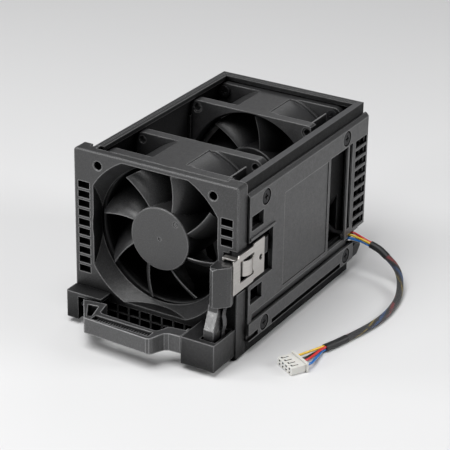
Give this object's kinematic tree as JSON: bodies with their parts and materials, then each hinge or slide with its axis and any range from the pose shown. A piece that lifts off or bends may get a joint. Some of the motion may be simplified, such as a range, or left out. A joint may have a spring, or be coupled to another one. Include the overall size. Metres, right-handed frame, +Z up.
{
  "type": "dual fan module",
  "caption": "Pull-out fan module for a storage chassis: two axial fans in line in a moulded carrier, with a pull handle, a squeeze latch and a lead with a plug.",
  "frame": {"origin": "centre of the module's footprint, on the resting plane (handle included, cord left out)", "axes": "+Z up, +Y from the front bezel towards the rear grille, +X to the right seen from the front"},
  "size_m": [0.149, 0.1769, 0.1007],
  "materials": {
    "body_plastic": "fine textured moulded plastic, charcoal",
    "bezel_plastic": "fine textured moulded plastic, charcoal",
    "fan_plastic": "satin black moulded plastic",
    "impeller_plastic": "satin black moulded plastic",
    "handle_plastic": "textured dark grey plastic",
    "lever_plastic": "satin mid grey plastic",
    "plate_steel": "satin nickel plated sheet steel",
    "spring_steel": "spring steel",
    "screw_steel": "black oxide screws",
    "pin_steel": "ground steel",
    "magnet": "bonded ferrite",
    "bearing": "polished bearing steel",
    "laminations": "laminated silicon steel",
    "copper": "enamelled copper winding",
    "board": "green solder resist",
    "sleeve": "black braided polyester",
    "shrink": "black polyolefin tube",
    "wire_red": "red insulation",
    "wire_yellow": "yellow insulation",
    "wire_blue": "blue insulation",
    "wire_black": "black insulation",
    "connector": "natural nylon",
    "contacts": "plated contact strip"
  },
  "bodies": {
    "module": {"front_bezel": "bezel_plastic", "carrier": "body_plastic", "right_side_panel": "body_plastic", "panel_screws": "screw_steel", "rear_grille": "body_plastic", "handle_bracket": "bezel_plastic", "latch_block": "bezel_plastic", "latch_pin": "pin_steel", "lever_return_leaf": "spring_steel", "handle_pin_left": "pin_steel", "handle_pin_right": "pin_steel", "front_fan_frame": "fan_plastic", "front_bearing_front": "bearing", "front_bearing_rear": "bearing", "front_stator_core": "laminations", "front_stator_coils": "copper", "front_driver_board": "board", "front_fan_screws": "screw_steel", "front_fan_lead": "shrink", "rear_fan_frame": "fan_plastic", "rear_bearing_front": "bearing", "rear_bearing_rear": "bearing", "rear_stator_core": "laminations", "rear_stator_coils": "copper", "rear_driver_board": "board", "rear_fan_screws": "screw_steel", "rear_fan_lead": "shrink", "cord_sleeve": "sleeve", "shrink_tube_inner": "shrink", "shrink_tube_outer": "shrink", "connector_housing": "connector", "connector_contacts": "contacts", "lead_wire_red": "wire_red", "plug_wire_red": "wire_red", "lead_wire_yellow": "wire_yellow", "plug_wire_yellow": "wire_yellow", "lead_wire_blue": "wire_blue", "plug_wire_blue": "wire_blue", "lead_wire_black": "wire_black", "plug_wire_black": "wire_black"},
    "front_rotor": {"front_impeller": "impeller_plastic", "front_rotor_yoke": "pin_steel", "front_magnet_ring": "magnet", "front_shaft": "pin_steel", "front_shaft_clip": "spring_steel"},
    "rear_rotor": {"rear_impeller": "impeller_plastic", "rear_rotor_yoke": "pin_steel", "rear_magnet_ring": "magnet", "rear_shaft": "pin_steel", "rear_shaft_clip": "spring_steel"},
    "latch": {"latch_lever": "lever_plastic", "latch_plate": "plate_steel"},
    "handle": {"pull_handle": "handle_plastic"}
  },
  "joints": [
    {"name": "front_fan_spin", "type": "hinge", "parent": "module", "child": "front_rotor", "pos_m": [-0.00112, -0.03544, 0.05702], "axis": [0, 1, 0], "continuous": true},
    {"name": "rear_fan_spin", "type": "hinge", "parent": "module", "child": "rear_rotor", "pos_m": [-0.00112, 0.05636, 0.05702], "axis": [0, 1, 0], "continuous": true},
    {"name": "latch_squeeze", "type": "hinge", "parent": "module", "child": "latch", "pos_m": [0.04315, -0.06605, 0.01071], "axis": [0, -1, 0], "range_deg": [0, 6], "stiffness_Nm_per_rad": 0.5, "springref_deg": -8.59},
    {"name": "handle_swing", "type": "hinge", "parent": "module", "child": "handle", "pos_m": [-0.00112, -0.06146, 0.01122], "axis": [-1, 0, 0], "range_deg": [0, 62]}
  ]
}
